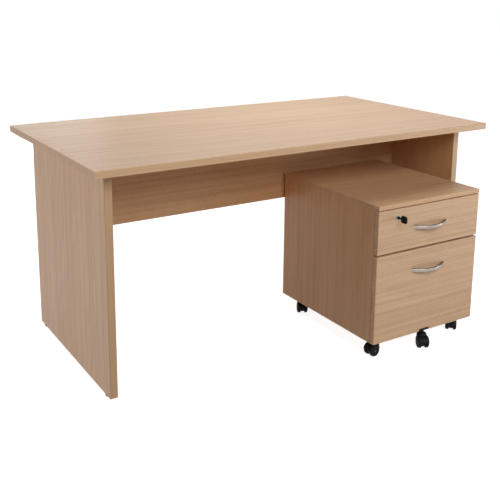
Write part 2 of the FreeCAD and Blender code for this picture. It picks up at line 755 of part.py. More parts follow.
def lock():
    """The lock's housing in the top drawer's front, its plug and cam, and the key with its moulded head."""
    housing = new_body("lock_housing_turned")
    sketch = new_sketch(housing, "YZ_Plane", "lock_housing_profile")
    bore = "plug_radius + running_clearance"
    outline(sketch, [
        ("-lock_rim", bore), ("-lock_rim", "lock_rim_radius - turned_chamfer"),
        ("-lock_rim + turned_chamfer", "lock_rim_radius"),
        ("0", "lock_rim_radius"), ("0", "lock_barrel_radius"),
        ("lock_barrel_length", "lock_barrel_radius"), ("lock_barrel_length", bore),
    ])
    turned(housing, sketch, "H_Axis")
    node(place(housing, LOCK_X, FACE, LOCK_Z), "lock_housing")
    plug = new_body("lock_plug_turned")
    sketch = new_sketch(plug, "YZ_Plane", "lock_plug_profile")
    outline(sketch, [
        ("-plug_front", "0"), ("-plug_front", "plug_radius - turned_chamfer"),
        ("-plug_front + turned_chamfer", "plug_radius"),
        ("plug_length", "plug_radius"), ("plug_length", "0"),
    ])
    turned(plug, sketch, "H_Axis")
    place(plug, LOCK_X, FACE, LOCK_Z)
    keyway = block("lock_keyway", f"{LOCK_X} - key_thickness / 2", f"{FACE} - plug_front",
                   f"{LOCK_Z} - key_height / 2", "key_thickness", "plug_front + key_depth", "key_height")
    node(cut("lock_plug_slotted", plug, [keyway]), "lock_plug")
    cam = new_body("lock_cam_plate")
    sketch = new_sketch(cam, "XZ_Plane", "lock_cam_outline")
    half = "lock_cam_width / 2"
    nose = f"-lock_cam_length + {half} / 2"
    outline(sketch, [
        (half, f"-{half}"), (half, half), (nose, half), ("-lock_cam_length", f"{half} / 2"),
        ("-lock_cam_length", f"-{half} / 2"), (nose, f"-{half}"),
    ])
    pad(cam, sketch, "lock_cam_thickness", backward=True)
    node(place(cam, LOCK_X, f"{FACE} + plug_length", LOCK_Z), "lock_cam")
    blade = new_body("lock_key_blade")
    sketch = new_sketch(blade, "YZ_Plane", "lock_key_outline")
    edge = "key_height / 2"
    shoulder = "key_shoulder_height / 2"
    upper = [
        ("-key_tail", edge), ("-key_shoulder_far", edge), ("-key_shoulder_far", shoulder),
        ("-key_shoulder_near", shoulder), ("-key_shoulder_near", edge), ("key_depth", edge),
    ]
    outline(sketch, upper + [(along, f"-{up}") for along, up in reversed(upper)])
    pad(blade, sketch, "key_thickness", symmetric=True)
    node(place(blade, LOCK_X, FACE, LOCK_Z), "lock_key")
    head = new_body("key_head_moulding")
    sketch = new_sketch(head, "YZ_Plane", "key_head_outline")
    half = "key_head_height / 2"
    upper = [
        ("-key_reach", f"{half} - key_head_corner"), ("-key_reach + key_head_corner", half),
        ("-key_head_near - key_head_corner", half), ("-key_head_near", f"{half} - key_head_corner"),
    ]
    outline(sketch, upper + [(along, f"-({up})") for along, up in reversed(upper)])
    grip = pad(head, sketch, "key_head_thickness", symmetric=True)
    soften(head, grip, "key_head_round", lambda start, end: same(start.x, end.x))
    place(head, LOCK_X, FACE, LOCK_Z)
    socket = block("key_head_socket", f"{LOCK_X} - key_thickness / 2", f"{FACE} - key_tail",
                   f"{LOCK_Z} - key_height / 2", "key_thickness", "key_tail", "key_height")
    node(cut("key_head_bored", head, [socket]), "key_head")
    return rod("lock_front_bore", "y", LOCK_X, FACE, LOCK_Z,
               "lock_barrel_radius + drill_clearance", "front_thickness")


def drawers():
    """Both drawers: front, steel body, back, handle and fixings, and the file drawer's hanging rails."""
    low = TOP_BOX_LOW
    holes = drawer_box("top", low, "top_box_height")
    holes += handle("top", f"{TOP_FRONT_LOW} + {TOP_FRONT_HEIGHT} - top_handle_drop")
    holes.append(lock())
    front = drawer_front("top_front_panel", TOP_FRONT_LOW, TOP_FRONT_HEIGHT, notched=False)
    node(cut("top_front_drilled", front, holes), "top_drawer_front")
    low = FILE_BOX_LOW
    holes = drawer_box("file", low, "file_box_height")
    holes += handle("file", "castor_height + file_front_height - file_handle_drop")
    holes += anti_tilt_bracket()
    front = drawer_front("file_front_panel", "castor_height", "file_front_height", notched=True)
    node(cut("file_front_drilled", front, holes), "file_drawer_front")
    rails = []
    for name, side in SIDES.items():
        rail = new_body(f"file_rail_{name}")
        sketch = new_sketch(rail, "XZ_Plane", f"file_rail_section_{name}")
        slot = "sheet_steel / 2"
        half = "file_rail_width / 2"
        floor = "-file_rail_cover"
        crown = "file_rail_height - file_rail_cover"
        outline(sketch, [
            (f"-{half}", floor), (f"-{slot}", floor), (f"-{slot}", "0"), (slot, "0"),
            (slot, floor), (half, floor), (half, crown), (f"-{half}", crown),
        ])
        pad(rail, sketch, "drawer_length - 4 * drawer_flange", backward=True)
        x = f"{PEDESTAL_MIDDLE} + {side} * ({BOX_HALF} - sheet_steel / 2)"
        rails.append(place(rail, x, f"{FRONT_REAR} + 2 * drawer_flange", f"{low} + file_box_height"))
    group("file_rails", rails)


def anti_tilt_bracket():
    """The angle under the file drawer's front that carries the fifth castor, with its stem and screws."""
    half = "bracket_width / 2"
    low = "castor_height + bracket_lift"
    left = f"{PEDESTAL_MIDDLE} - {half}"
    plate = block("bracket_plate_flat", left, f"{FACE} + bracket_notch_play", low, "bracket_width",
                  "front_thickness + bracket_flange - bracket_notch_play", "bracket_plate")
    flange = block("bracket_flange_upright", left, FRONT_REAR, low, "bracket_width", "bracket_flange",
                   "bracket_flange_height")
    stem = rod("bracket_stem", "z", PEDESTAL_MIDDLE, f"{FACE} + front_thickness / 2", "stem_foot",
               "stem_radius", f"{low} - stem_foot")
    screws = []
    bores = []
    for name, side in SIDES.items():
        x = f"{PEDESTAL_MIDDLE} + {side} * bracket_screw_spread"
        z = "castor_height + bracket_screw_rise"
        start = f"{FRONT_REAR} - screw_bite"
        length = "screw_bite + bracket_flange"
        shank = rod(f"bracket_shank_{name}", "y", x, start, z, "screw_radius", length)
        head = rod(f"bracket_head_{name}", "y", x, f"{FRONT_REAR} + bracket_flange", z,
                   "screw_head_radius", "screw_head")
        screws.append(fuse(f"bracket_screw_{name}", [shank, head]))
        bores.append(rod(f"bracket_bore_{name}", "y", x, start, z,
                         "screw_radius + drill_clearance", length))
    node(cut("bracket_drilled", fuse("bracket_angle", [plate, flange, stem]), bores), "anti_tilt_bracket")
    group("anti_tilt_screws", screws)
    return bores


def castor_hood(tag):
    """A hood over both wheels, with a web between them, and a crown and a neck round the swivel's stem."""
    half = "(web_width / 2 + web_gap + wheel_width)"
    behind = "-castor_trail"
    shell = new_body(f"{tag}_hood_shell")
    sketch = new_sketch(shell, "XY_Plane", f"{tag}_hood_profile")
    outline(sketch, [(f"-{half}", "0"), (half, "0"), (half, "hood_radius"), (f"-{half}", "hood_radius")])
    drum = turned(shell, sketch, "H_Axis")
    soften(shell, drum, "hood_round", lambda start, end: same(start.x, end.x))
    place(shell, "0", behind, "wheel_radius")
    keep = block(f"{tag}_hood_keep", f"-{half}", f"{behind} - hood_radius", "hood_rim",
                 f"2 * {half}", "2 * hood_radius", "hood_radius")
    upper = doc.addObject("Part::Common", f"{tag}_hood_upper")
    upper.Base = shell
    upper.Tool = keep
    crown = new_body(f"{tag}_hood_crown")
    sketch = new_sketch(crown, "XZ_Plane", f"{tag}_crown_profile")
    outline(sketch, [("0", "hood_rim"), ("crown_radius", "hood_rim"), ("crown_radius", "crown_top"),
                     ("0", "crown_top")])
    bell = turned(crown, sketch, "V_Axis")
    soften(crown, bell, "crown_round", lambda start, end: near(start.z, "crown_top")
           and near(end.z, "crown_top"))
    web = rod(f"{tag}_hood_web", "x", "-web_width / 2", behind, "wheel_radius", "web_radius", "web_width")
    neck = rod(f"{tag}_hood_neck", "z", "0", "0", "neck_foot", "neck_radius", "neck_top - neck_foot")
    tools = [
        rod(f"{tag}_axle_bore", "x", "-web_width", behind, "wheel_radius",
            "axle_radius + running_clearance", "2 * web_width"),
        rod(f"{tag}_stem_bore", "z", "0", "0", "stem_foot - stem_play",
            "stem_radius + running_clearance", "neck_top - stem_foot + stem_play"),
    ]
    for name, side in SIDES.items():
        depth = "wheel_width + 2 * web_gap"
        tools.append(rod(f"{tag}_wheel_space_{name}", "x", outward(side, "web_width / 2", depth), behind,
                         "wheel_radius", "wheel_radius + wheel_clearance", depth))
    return cut(f"{tag}_hood_bored", fuse(f"{tag}_hood_whole", [upper, crown, web, neck]), tools)


def castor_wheel(tag, name, side):
    """A wheel with a dished outer face and a rounded tread edge, made about its axle."""
    body = new_body(f"{tag}_wheel_{name}")
    sketch = new_sketch(body, "XY_Plane", f"{tag}_wheel_profile_{name}")
    inner = "web_width / 2 + web_gap"
    outer = f"{inner} + wheel_width"
    dish = f"{outer} - wheel_dish"
    ease = "wheel_round / 3"
    corners = [
        (inner, "axle_radius"), (outer, "axle_radius"), (outer, "wheel_hub_radius"),
        (dish, "wheel_hub_radius + turned_chamfer"), (dish, "wheel_rim_radius - turned_chamfer"),
        (outer, "wheel_rim_radius"), (outer, "wheel_radius - wheel_round"),
        (f"{outer} - {ease}", f"wheel_radius - {ease}"), (f"{outer} - wheel_round", "wheel_radius"),
        (f"{inner} + {ease} / 2", "wheel_radius"), (inner, f"wheel_radius - {ease} / 2"),
    ]
    outline(sketch, [(f"{side} * ({along})", radius) for along, radius in corners])
    turned(body, sketch, "H_Axis")
    return body


def castors():
    """Five castors: a hood, an axle and two wheels each, turned the way that each one stands."""
    spots = {
        "anti_tilt": (PEDESTAL_MIDDLE, f"{FACE} + front_thickness / 2"),
    }
    for end, inset in (("front", "castor_front_inset"), ("back", "pedestal_depth - castor_back_inset")):
        for name, side in SIDES.items():
            x = f"{PEDESTAL_MIDDLE} + {side} * (pedestal_width / 2 - castor_side_inset)"
            spots[f"{end}_{name}"] = (x, f"{FACE} + {inset}")
    for tag, (x, y) in spots.items():
        turn = f"{tag}_turn"
        node(place(castor_hood(tag), x, y, "0", turn), f"{tag}_castor_hood")
        hub_x = f"{x} + castor_trail * sin({turn} * 1 deg)"
        hub = (hub_x, f"{y} - castor_trail * cos({turn} * 1 deg)", "wheel_radius")
        axle = new_body(f"{tag}_axle_pin")
        sketch = new_sketch(axle, "YZ_Plane", f"{tag}_axle_section")
        upright = FreeCAD.Vector(0, 0, 1)
        ring = sketch.addGeometry(Part.Circle(FreeCAD.Vector(), upright, number("axle_radius")))
        sketch.addConstraint(Sketcher.Constraint("Coincident", ring, 3, -1, 1))
        radius = sketch.addConstraint(Sketcher.Constraint("Radius", ring, number("axle_radius")))
        sketch.setExpression(f"Constraints[{radius}]", formula("axle_radius"))
        pad(axle, sketch, "web_width + 2 * web_gap + 2 * wheel_width - 2 * wheel_dish", symmetric=True)
        node(place(axle, *hub, turn), f"{tag}_castor_axle")
        pair = [castor_wheel(tag, name, side) for name, side in SIDES.items()]
        place(group(f"{tag}_castor_wheels", pair), *hub, turn)


def write_parts():
    """Recomputes, checks every object and every sub-part, and writes one file for each sub-part."""
    doc.recompute()
    failed = [item.Name for item in doc.Objects if {"Invalid", "Error"} & set(item.State)]
    broken = [item.Label for item in nodes if item.Shape.isNull() or not item.Shape.isValid()]
    if failed or broken:
        raise RuntimeError(f"failed: {failed} broken: {broken}")
    os.makedirs("parts", exist_ok=True)
    for item in nodes:
        item.Shape.exportStep(f"parts/{item.Label}.step")
        print(item.Label, len(item.Shape.Solids), "solids", round(item.Shape.Volume), "cubic mm")


desk()
pedestal()
runners()
drawers()
castors()
write_parts()
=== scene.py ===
import math

import bpy
import numpy as np
from mathutils import Matrix, Vector

# A beech office desk with a loose drawer pedestal: finishes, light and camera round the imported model.
# Metres. X runs along the desk to the right, Y to the back and Z up from the floor.

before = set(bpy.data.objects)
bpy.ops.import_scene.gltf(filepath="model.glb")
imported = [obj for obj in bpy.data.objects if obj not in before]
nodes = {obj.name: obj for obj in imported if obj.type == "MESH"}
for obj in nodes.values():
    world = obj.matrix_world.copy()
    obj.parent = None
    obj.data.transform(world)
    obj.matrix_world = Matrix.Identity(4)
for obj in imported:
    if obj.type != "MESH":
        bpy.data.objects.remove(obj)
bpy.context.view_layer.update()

# Camera close to the photograph's own, in a frame 500 pixels square, with a smaller shift than it had
PICTURE = 500
FOCAL_PIXELS = 790.97
CENTRE_PIXELS = (235.0, 155.0)
CAMERA_PLACE = Vector((-1.4903, -2.2551, 1.2225))
CAMERA_YAW = 0.5456
CAMERA_DIP = 0.2166
CAMERA_ROLL = -0.0049
SENSOR = 36.0

# Finishes, as linear colours; the two warmer tints of the beech after the plain beech are painted shade, for
# boards in the desktop's shade
BEECH_LIGHT = (0.720, 0.492, 0.306, 1.0)
BEECH_DARK = (0.480, 0.292, 0.161, 1.0)
PAINTED_SHADE_CAP_LIGHT = (0.720, 0.462, 0.258, 1.0)
PAINTED_SHADE_CAP_DARK = (0.480, 0.270, 0.132, 1.0)
PAINTED_SHADE_BEECH_LIGHT = (0.735, 0.450, 0.235, 1.0)
PAINTED_SHADE_BEECH_DARK = (0.490, 0.262, 0.118, 1.0)
EDGING_LIGHT = (0.640, 0.422, 0.240, 1.0)
EDGING_DARK = (0.480, 0.294, 0.158, 1.0)
PANEL_EDGE_LIGHT = (0.545, 0.355, 0.200, 1.0)
PANEL_EDGE_DARK = (0.410, 0.247, 0.132, 1.0)
NYLON_BLACK = (0.004, 0.004, 0.004, 1.0)
NYLON_WORN = (0.011, 0.010, 0.010, 1.0)
PAINT_GREY = (0.330, 0.330, 0.340, 1.0)
PAINT_GREY_WORN = (0.290, 0.290, 0.300, 1.0)
PAINT_BLACK = (0.004, 0.004, 0.004, 1.0)
SATIN_NICKEL = (0.335, 0.290, 0.250, 1.0)
SATIN_NICKEL_DULL = (0.262, 0.226, 0.195, 1.0)
# Dark colour laid on the handles where they face up or down: a painted dark reflection
NICKEL_PAINTED_REFLECTION = (0.110, 0.098, 0.085, 1.0)
PLUG_DARK = (0.045, 0.042, 0.040, 1.0)
PLUG_DULL = (0.030, 0.028, 0.027, 1.0)
ZINC = (0.560, 0.565, 0.580, 1.0)
ZINC_DULL = (0.440, 0.445, 0.460, 1.0)
RAW_DOWEL_LIGHT = (0.680, 0.520, 0.350, 1.0)
RAW_DOWEL_DARK = (0.580, 0.420, 0.270, 1.0)
WHITE = (1.0, 1.0, 1.0, 1.0)

# Beech print: noise layers in features per metre along and across the grain, and their shares of the tone
BANDS = {"stretch": (0.5, 9.0, 9.0), "detail": 1.0}
STREAKS = {"stretch": (0.7, 85.0, 85.0), "detail": 4.0}
FINE_LINES = {"stretch": (4.0, 230.0, 230.0), "detail": 3.0}
FLECKS = {"stretch": (75.0, 850.0, 850.0), "detail": 1.0}
RING_STRETCH = (0.35, 1.0, 1.0)
RINGS = {"Scale": 9.0, "Distortion": 9.0, "Detail": 2.0, "Detail_Scale": 1.2}
BAND_SHARE = 0.14
STREAK_SHARE = 0.46
LINE_SHARE = 0.30
RING_SHARE = 0.08
PRINT_MEAN = 0.49
SOFT_SPAN = (0.3, 0.7)
FLECK_SPAN = (0.60, 0.72)
FLECK_TINT = (0.72, 0.66, 0.60, 1.0)
LINE_HEIGHT = 0.4
BOARD_ROUGHNESS = (0.40, 0.50)
FULL_STREAK = 1.0
FULL_FLECK = 0.5
DESKTOP_STREAK = 0.8
PEDESTAL_SIDE_STREAK = 0.7
EDGE_STREAK = 0.9
EDGE_FLECK = 0.3
DOWEL_FLECK = 0.6

# Handling marks and hair lines, and the slope range over which the handles' painted dark reflection comes in
PATCH_SPAN = (0.32, 0.72)
PATCH_DETAIL = {"Detail": 4.0, "Roughness": 0.62}
GRAIN_DETAIL = 2.0
GRAIN_FINENESS = 30.0
PATCHES_PER_METRE = 40.0
HAIR_LINES = {"stretch": (40.0, 2600.0, 2600.0), "detail": 2.0}
PAINTED_REFLECTION_SLOPE = (0.15, 0.75)

# Bumps, each a depth in metres and a strength
BOARD_BUMP = (0.00012, 0.35)
MOULDED_BUMP = (0.00008, 0.3)
BRUSHED_BUMP = (0.00003, 0.25)

# Roughness from the smoothest to the roughest spot of a finish, and the sheen of paint and of plastic
HANDLE_ROUGHNESS = (0.24, 0.38)
LOCK_ROUGHNESS = (0.18, 0.30)
PLUG_ROUGHNESS = (0.24, 0.36)
RUNNER_ROUGHNESS = (0.30, 0.42)
FITTING_ROUGHNESS = (0.28, 0.42)
PAINT_ROUGHNESS = (0.34, 0.46)
HOOD_ROUGHNESS = (0.40, 0.55)
PLASTIC_ROUGHNESS = (0.45, 0.60)
PAINT_SHEEN = 0.5
PLASTIC_SHEEN = 0.1


def add(tree, kind, **settings):
    """A shader node with its own settings; names of input sockets set those sockets."""
    item = tree.nodes.new(kind)
    for name, value in settings.items():
        if hasattr(item, name):
            setattr(item, name, value)
        else:
            item.inputs[name.replace("_", " ").title()].default_value = value
    return item


def wire(tree, source, target):
    """Joins an output socket to an input socket."""
    tree.links.new(source, target)


def new_group(name, inputs, outputs):
    """An empty node group with named sockets: its tree, and its inner input and output nodes."""
    tree = bpy.data.node_groups.new(name, "ShaderNodeTree")
    for label, kind, default in inputs:
        socket = tree.interface.new_socket(label, in_out="INPUT", socket_type=kind)
        if default is not None:
            socket.default_value = default
    for label, kind in outputs:
        tree.interface.new_socket(label, in_out="OUTPUT", socket_type=kind)
    return tree, tree.nodes.new("NodeGroupInput"), tree.nodes.new("NodeGroupOutput")


def stretched_noise(tree, vector, stretch, detail):
    """Noise drawn out along a board's own axes: one stretch for each axis, in features per metre."""
    scaled = add(tree, "ShaderNodeVectorMath", operation="MULTIPLY")
    scaled.inputs[1].default_value = stretch
    wire(tree, vector, scaled.inputs[0])
    noise = add(tree, "ShaderNodeTexNoise", Scale=1.0, Detail=detail)
    wire(tree, scaled.outputs[0], noise.inputs["Vector"])
    return noise.outputs["Fac"]


def ranged(tree, value, low, high, to_low=0.0, to_high=1.0):
    """A value taken from one range to another and held there."""
    item = add(tree, "ShaderNodeMapRange", clamp=True)
    for name, number in (("From Min", low), ("From Max", high), ("To Min", to_low), ("To Max", to_high)):
        item.inputs[name].default_value = number
    wire(tree, value, item.inputs["Value"])
    return item.outputs["Result"]


def maths(tree, operation, first, second):
    """Arithmetic on two values, each a socket or a plain number."""
    item = add(tree, "ShaderNodeMath", operation=operation)
    for place, value in enumerate((first, second)):
        if isinstance(value, float):
            item.inputs[place].default_value = value
        else:
            wire(tree, value, item.inputs[place])
    return item.outputs[0]


def mixed(tree, factor, first, second, blend="MIX"):
    """Two colours mixed by a factor."""
    item = add(tree, "ShaderNodeMix", data_type="RGBA", blend_type=blend)
    sockets = {socket.identifier: socket for socket in item.inputs}
    for name, value in (("Factor_Float", factor), ("A_Color", first), ("B_Color", second)):
        if isinstance(value, (float, tuple)):
            sockets[name].default_value = value
        else:
            wire(tree, value, sockets[name])
    return next(socket for socket in item.outputs if socket.identifier == "Result_Color")


def beech_print_group():
    """Beech print: soft bands, streaks, growth rings and fine lines along X, with short dark flecks.

    The tone is the sum of the layers, each times its share.
    The streak input scales how far the tone is from its mean.
    """
    tree, inside, out = new_group(
        "beech_print",
        [("Vector", "NodeSocketVector", None), ("Light", "NodeSocketColor", BEECH_LIGHT),
         ("Dark", "NodeSocketColor", BEECH_DARK), ("Streak", "NodeSocketFloat", FULL_STREAK),
         ("Fleck", "NodeSocketFloat", FULL_FLECK)],
        [("Color", "NodeSocketColor"), ("Roughness", "NodeSocketFloat"), ("Height", "NodeSocketFloat")])
    vector = inside.outputs["Vector"]
    broad = ranged(tree, stretched_noise(tree, vector, **BANDS), *SOFT_SPAN)
    streak = ranged(tree, stretched_noise(tree, vector, **STREAKS), *SOFT_SPAN)
    fine = ranged(tree, stretched_noise(tree, vector, **FINE_LINES), *SOFT_SPAN)
    fleck = ranged(tree, stretched_noise(tree, vector, **FLECKS), *FLECK_SPAN)
    drawn = add(tree, "ShaderNodeVectorMath", operation="MULTIPLY")
    drawn.inputs[1].default_value = RING_STRETCH
    wire(tree, vector, drawn.inputs[0])
    ring = add(tree, "ShaderNodeTexWave", wave_type="BANDS", bands_direction="DIAGONAL", **RINGS)
    wire(tree, drawn.outputs[0], ring.inputs["Vector"])
    tone = maths(tree, "MULTIPLY", broad, BAND_SHARE)
    for layer, share in ((streak, STREAK_SHARE), (fine, LINE_SHARE), (ring.outputs["Fac"], RING_SHARE)):
        tone = maths(tree, "ADD", tone, maths(tree, "MULTIPLY", layer, share))
    contrast = maths(tree, "MULTIPLY", maths(tree, "SUBTRACT", tone, PRINT_MEAN), inside.outputs["Streak"])
    tone = maths(tree, "ADD", contrast, PRINT_MEAN)
    ground = mixed(tree, tone, inside.outputs["Light"], inside.outputs["Dark"])
    deep = mixed(tree, 1.0, inside.outputs["Dark"], FLECK_TINT, "MULTIPLY")
    flecked = mixed(tree, maths(tree, "MULTIPLY", fleck, inside.outputs["Fleck"]), ground, deep)
    wire(tree, flecked, out.inputs["Color"])
    wire(tree, ranged(tree, fine, 0.0, 1.0, *BOARD_ROUGHNESS), out.inputs["Roughness"])
    raised = maths(tree, "MULTIPLY", fine, LINE_HEIGHT)
    wire(tree, maths(tree, "SUBTRACT", raised, fleck), out.inputs["Height"])
    return tree


def handling_group():
    """Handling marks: soft cloudy patches as a mask, and a much finer moulded grain as a height."""
    tree, inside, out = new_group(
        "handling_marks",
        [("Vector", "NodeSocketVector", None), ("Size", "NodeSocketFloat", PATCHES_PER_METRE)],
        [("Mask", "NodeSocketFloat"), ("Height", "NodeSocketFloat")])
    noise = add(tree, "ShaderNodeTexNoise", **PATCH_DETAIL)
    wire(tree, inside.outputs["Vector"], noise.inputs["Vector"])
    wire(tree, inside.outputs["Size"], noise.inputs["Scale"])
    grain = add(tree, "ShaderNodeTexNoise", Detail=GRAIN_DETAIL)
    wire(tree, inside.outputs["Vector"], grain.inputs["Vector"])
    wire(tree, maths(tree, "MULTIPLY", inside.outputs["Size"], GRAIN_FINENESS), grain.inputs["Scale"])
    wire(tree, ranged(tree, noise.outputs["Fac"], *PATCH_SPAN), out.inputs["Mask"])
    wire(tree, grain.outputs["Fac"], out.inputs["Height"])
    return tree


def brushed_group():
    """Brushed metal: hair lines drawn along X, as a mask and a height."""
    tree, inside, out = new_group(
        "brushed_lines",
        [("Vector", "NodeSocketVector", None)],
        [("Mask", "NodeSocketFloat"), ("Height", "NodeSocketFloat")])
    hair = stretched_noise(tree, inside.outputs["Vector"], **HAIR_LINES)
    wire(tree, ranged(tree, hair, *SOFT_SPAN), out.inputs["Mask"])
    wire(tree, hair, out.inputs["Height"])
    return tree


beech_print = beech_print_group()
handling_marks = handling_group()
brushed_lines = brushed_group()

# Turns that lay a pattern's lines, drawn along X, along another axis of the object
ALONG_X = (0.0, 0.0, 0.0)
ALONG_Y = (0.0, 0.0, math.radians(-90.0))
UPRIGHT = (0.0, math.radians(90.0), 0.0)


def new_finish(name, group, turn=ALONG_X, shift=(0.0, 0.0, 0.0)):
    """A material whose pattern group reads turned and shifted object coordinates."""
    material = bpy.data.materials.new(name)
    material.use_nodes = True
    tree = material.node_tree
    shader = tree.nodes["Principled BSDF"]
    coordinates = tree.nodes.new("ShaderNodeTexCoord")
    mapping = tree.nodes.new("ShaderNodeMapping")
    mapping.inputs["Rotation"].default_value = turn
    mapping.inputs["Location"].default_value = shift
    wire(tree, coordinates.outputs["Object"], mapping.inputs["Vector"])
    pattern = tree.nodes.new("ShaderNodeGroup")
    pattern.node_tree = group
    wire(tree, mapping.outputs["Vector"], pattern.inputs["Vector"])
    return material, tree, shader, pattern


def bumped(tree, height, shader, distance, strength):
    """A bump from a height, feeding the shader's normal."""
    bump = tree.nodes.new("ShaderNodeBump")
    bump.inputs["Distance"].default_value = distance
    bump.inputs["Strength"].default_value = strength
    wire(tree, height, bump.inputs["Height"])
    wire(tree, bump.outputs["Normal"], shader.inputs["Normal"])


def beech(name, turn, shift, light=BEECH_LIGHT, dark=BEECH_DARK, streak=FULL_STREAK, fleck=FULL_FLECK):
    """Beech-faced board with its grain along one axis, and its own stretch of the print."""
    material, tree, shader, pattern = new_finish(name, beech_print, turn, shift)
    pattern.inputs["Light"].default_value = light
    pattern.inputs["Dark"].default_value = dark
    pattern.inputs["Streak"].default_value = streak
    pattern.inputs["Fleck"].default_value = fleck
    wire(tree, pattern.outputs["Color"], shader.inputs["Base Color"])
    wire(tree, pattern.outputs["Roughness"], shader.inputs["Roughness"])
    bumped(tree, pattern.outputs["Height"], shader, *BOARD_BUMP)
    return material


def moulded(name, base, worn, size, roughness, sheen):
    """Moulded or painted finish, a little worn in patches, with a fine moulded grain."""
    material, tree, shader, pattern = new_finish(name, handling_marks)
    pattern.inputs["Size"].default_value = size
    wire(tree, mixed(tree, pattern.outputs["Mask"], base, worn), shader.inputs["Base Color"])
    wire(tree, ranged(tree, pattern.outputs["Mask"], 0.0, 1.0, *roughness), shader.inputs["Roughness"])
    shader.inputs["Specular IOR Level"].default_value = sheen
    bumped(tree, pattern.outputs["Height"], shader, *MOULDED_BUMP)
    return material


def brushed(name, bright, dull, turn, roughness, painted_reflection=None):
    """Satin metal with hair lines along one axis; a dark colour laid where it turns up or down is a painted
    reflection.
    """
    material, tree, shader, pattern = new_finish(name, brushed_lines, turn)
    colour = mixed(tree, pattern.outputs["Mask"], bright, dull)
    if painted_reflection:
        parts = add(tree, "ShaderNodeSeparateXYZ")
        wire(tree, tree.nodes["Texture Coordinate"].outputs["Normal"], parts.inputs[0])
        slope = maths(tree, "MULTIPLY", parts.outputs["Z"], parts.outputs["Z"])
        colour = mixed(tree, ranged(tree, slope, *PAINTED_REFLECTION_SLOPE), colour, painted_reflection)
    wire(tree, colour, shader.inputs["Base Color"])
    wire(tree, ranged(tree, pattern.outputs["Mask"], 0.0, 1.0, *roughness), shader.inputs["Roughness"])
    shader.inputs["Metallic"].default_value = 1.0
    bumped(tree, pattern.outputs["Height"], shader, *BRUSHED_BUMP)
    return material


def finish(material, *names):
    """Gives CAD nodes a finish."""
    for name in names:
        slots = nodes[name].data.materials
        slots.clear()
        slots.append(material)


# Boards: each has its own stretch of the print
finish(beech("desktop_beech", ALONG_X, (3.1, 0.7, 0.2), streak=DESKTOP_STREAK), "desktop")
finish(beech("left_panel_beech", UPRIGHT, (1.7, 2.3, 0.0)), "left_end_panel")
# The right end panel, modesty panel, pedestal top and pedestal sides take the warmer tints of the beech:
# beech with painted shade
finish(beech("right_panel_beech_painted_shade", UPRIGHT, (5.2, 1.1, 0.0), PAINTED_SHADE_BEECH_LIGHT, PAINTED_SHADE_BEECH_DARK), "right_end_panel")
finish(beech("modesty_beech_painted_shade", ALONG_X, (0.4, 4.2, 1.3), PAINTED_SHADE_BEECH_LIGHT, PAINTED_SHADE_BEECH_DARK), "modesty_panel")
finish(beech("pedestal_top_beech_painted_shade", ALONG_X, (2.6, 3.4, 0.8), PAINTED_SHADE_CAP_LIGHT, PAINTED_SHADE_CAP_DARK), "pedestal_top")
finish(beech("pedestal_side_beech_painted_shade", UPRIGHT, (6.3, 0.9, 2.1), PAINTED_SHADE_BEECH_LIGHT, PAINTED_SHADE_BEECH_DARK, PEDESTAL_SIDE_STREAK),
       "pedestal_left_side", "pedestal_right_side")
finish(beech("pedestal_back_beech", UPRIGHT, (4.4, 5.3, 0.6)), "pedestal_back")
finish(beech("pedestal_base_beech", ALONG_X, (1.2, 6.1, 3.3)), "pedestal_base")
finish(beech("top_front_beech", ALONG_X, (7.5, 2.2, 1.9)), "top_drawer_front")
finish(beech("file_front_beech", ALONG_X, (8.1, 1.6, 2.7)), "file_drawer_front")
finish(beech("desktop_edge_beech", ALONG_X, (0.9, 8.8, 4.1), EDGING_LIGHT, EDGING_DARK,
             EDGE_STREAK, EDGE_FLECK), "desktop_edging")
finish(beech("panel_edge_beech", UPRIGHT, (2.2, 7.7, 5.2), PANEL_EDGE_LIGHT, PANEL_EDGE_DARK,
             EDGE_STREAK, EDGE_FLECK), "end_panel_edging")
finish(beech("dowel_beech", ALONG_X, (0.0, 0.0, 0.0), RAW_DOWEL_LIGHT, RAW_DOWEL_DARK, fleck=DOWEL_FLECK),
       "desk_dowels", "pedestal_dowels")

# Metal, paint and plastic; a moulded finish gives its worn patches per metre
CASTORS = ("front_left", "front_right", "back_left", "back_right", "anti_tilt")
# The handles' dark upper and lower rims are a painted dark reflection
finish(brushed("handle_nickel_painted_reflection", SATIN_NICKEL, SATIN_NICKEL_DULL, ALONG_X, HANDLE_ROUGHNESS, NICKEL_PAINTED_REFLECTION),
       "top_drawer_handle", "file_drawer_handle")
finish(brushed("lock_nickel", SATIN_NICKEL, SATIN_NICKEL_DULL, UPRIGHT, LOCK_ROUGHNESS),
       "lock_housing", "lock_cam")
finish(brushed("lock_dark", PLUG_DARK, PLUG_DULL, UPRIGHT, PLUG_ROUGHNESS), "lock_plug", "lock_key")
finish(brushed("runner_zinc", ZINC, ZINC_DULL, ALONG_Y, RUNNER_ROUGHNESS),
       "top_runner_outer", "top_runner_inner", "file_runner_outer", "file_runner_middle", "file_runner_inner",
       "lock_strike")
finish(brushed("fitting_zinc", ZINC, ZINC_DULL, ALONG_X, FITTING_ROUGHNESS),
       "desk_cam_bolts", "desk_cams", "castor_screws", "top_handle_screws", "file_handle_screws",
       "top_drawer_screws", "file_drawer_screws", "anti_tilt_screws", "castor_plates",
       *[f"{castor}_castor_axle" for castor in CASTORS])
finish(moulded("drawer_paint", PAINT_GREY, PAINT_GREY_WORN, 9.0, PAINT_ROUGHNESS, PAINT_SHEEN),
       "top_drawer_body", "top_drawer_back", "file_drawer_body", "file_drawer_back")
finish(moulded("bracket_paint", PAINT_BLACK, NYLON_WORN, 30.0, PLASTIC_ROUGHNESS, PLASTIC_SHEEN),
       "anti_tilt_bracket")
